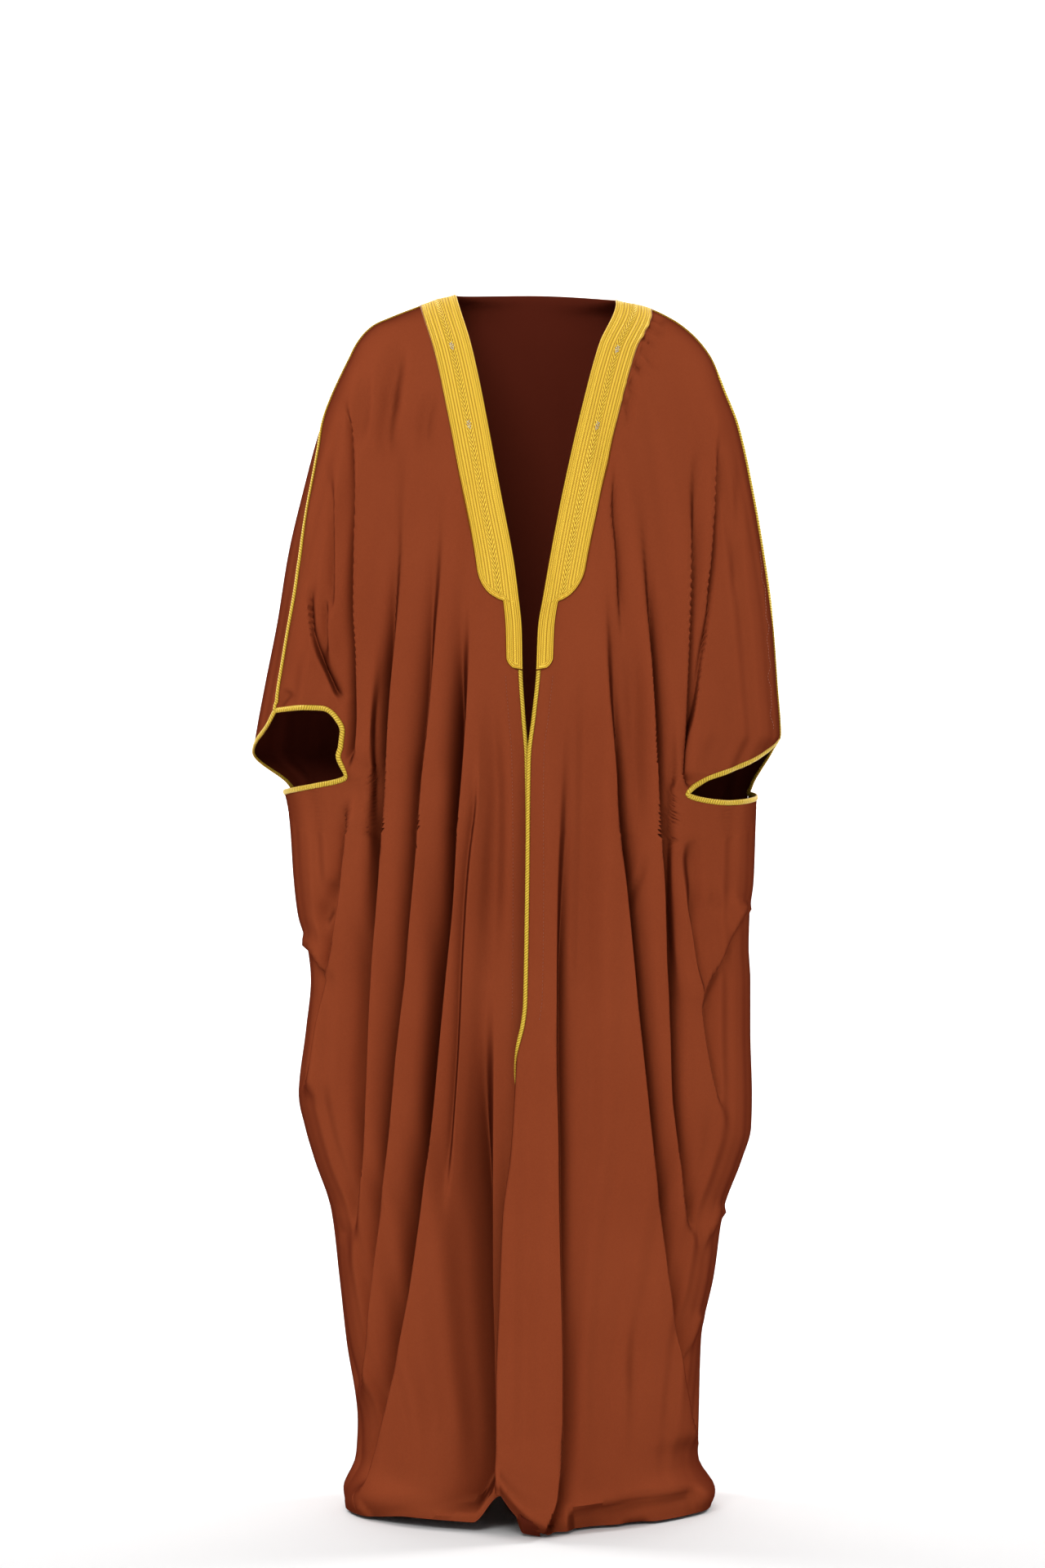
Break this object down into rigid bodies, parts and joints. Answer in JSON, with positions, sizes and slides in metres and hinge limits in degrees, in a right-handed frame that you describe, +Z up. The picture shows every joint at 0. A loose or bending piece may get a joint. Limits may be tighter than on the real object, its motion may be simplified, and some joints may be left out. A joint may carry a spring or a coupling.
{
  "type": "bisht robe",
  "caption": "Full-length open-front cloak with broad gold-thread neck bands, corded seams and wide sleeves, draped as worn.",
  "frame": {"origin": "between the wearer's shoulders, on the line where the robe rests", "axes": "+Z up, +X to the wearer's left, +Y to the wearer's back"},
  "size_m": [0.6543, 0.4315, 1.5029],
  "materials": {
    "cloth": "smooth, softly lustrous",
    "gold_band": "metallic thread braid",
    "gold_cord": "metallic thread"
  },
  "bodies": {
    "root": {"back": "cloth", "front_right": "cloth", "front_left": "cloth", "neck_band_right": "gold_band", "neck_band_left": "gold_band", "neck_band_back": "gold_band", "front_edge_right": "gold_cord", "front_edge_left": "gold_cord", "shoulder_cord_right": "gold_cord", "shoulder_cord_left": "gold_cord", "cuff_binding_right": "gold_cord", "cuff_binding_left": "gold_cord"}
  },
  "joints": []
}
